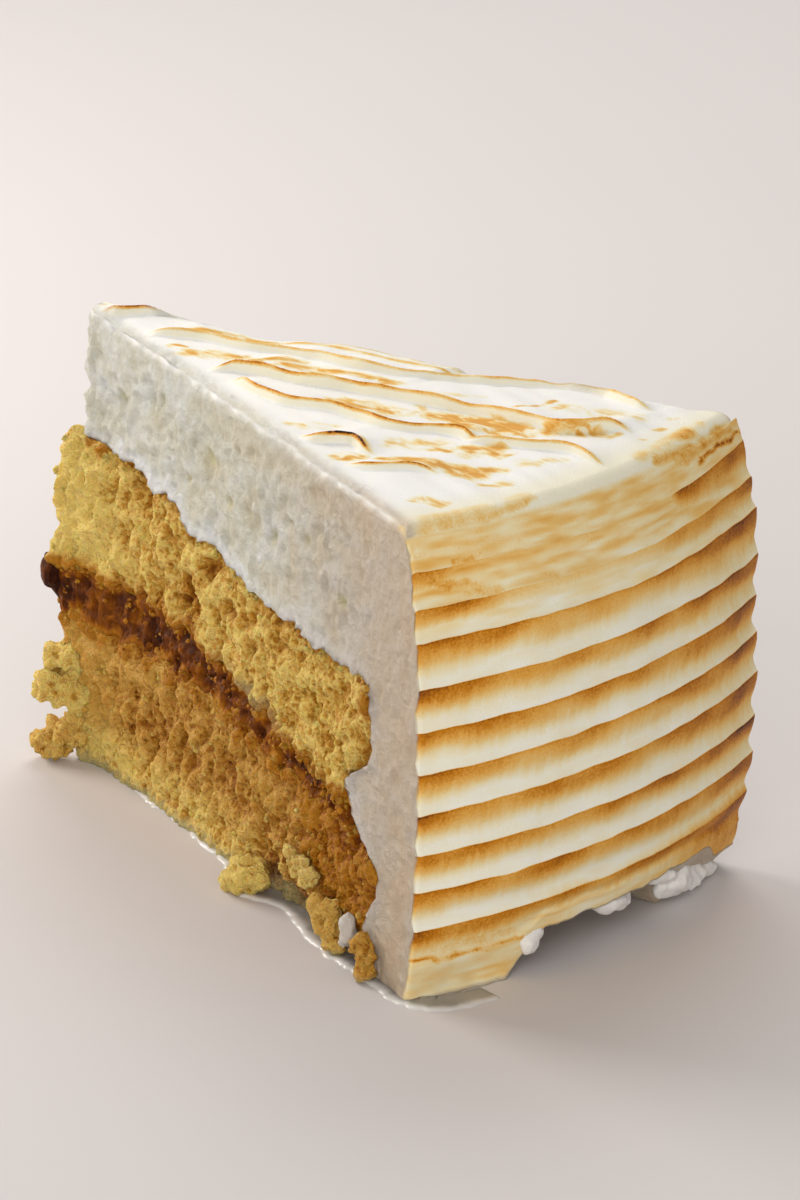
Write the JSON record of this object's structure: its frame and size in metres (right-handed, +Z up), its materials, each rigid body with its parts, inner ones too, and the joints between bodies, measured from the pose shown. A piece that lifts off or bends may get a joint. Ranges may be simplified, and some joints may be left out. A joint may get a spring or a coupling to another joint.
{
  "type": "cake slice",
  "caption": "Wedge of soaked sponge cake with a caramel band, under a thick torched meringue top that turns down into a combed, toasted outer wall.",
  "frame": {"origin": "centre of the slice's bounding box in plan, on the flat underside", "axes": "+X from the tip of the wedge to the middle of the combed outer wall, +Z up, -Y towards one cut face and +Y towards the other"},
  "size_m": [0.1224, 0.0787, 0.0794],
  "materials": {
    "toasted_meringue": "soft matte white foam, browned by a torch along its comb marks and knife waves",
    "soaked_sponge": "moist open golden crumb",
    "milk_caramel": "dark caramel soaked into torn crumb",
    "milk_film": "thin wet film of milk at the foot of the sponge"
  },
  "bodies": {
    "root": {"meringue": "toasted_meringue", "sponge_upper": "soaked_sponge", "caramel": "milk_caramel", "sponge_lower": "soaked_sponge"}
  },
  "joints": []
}
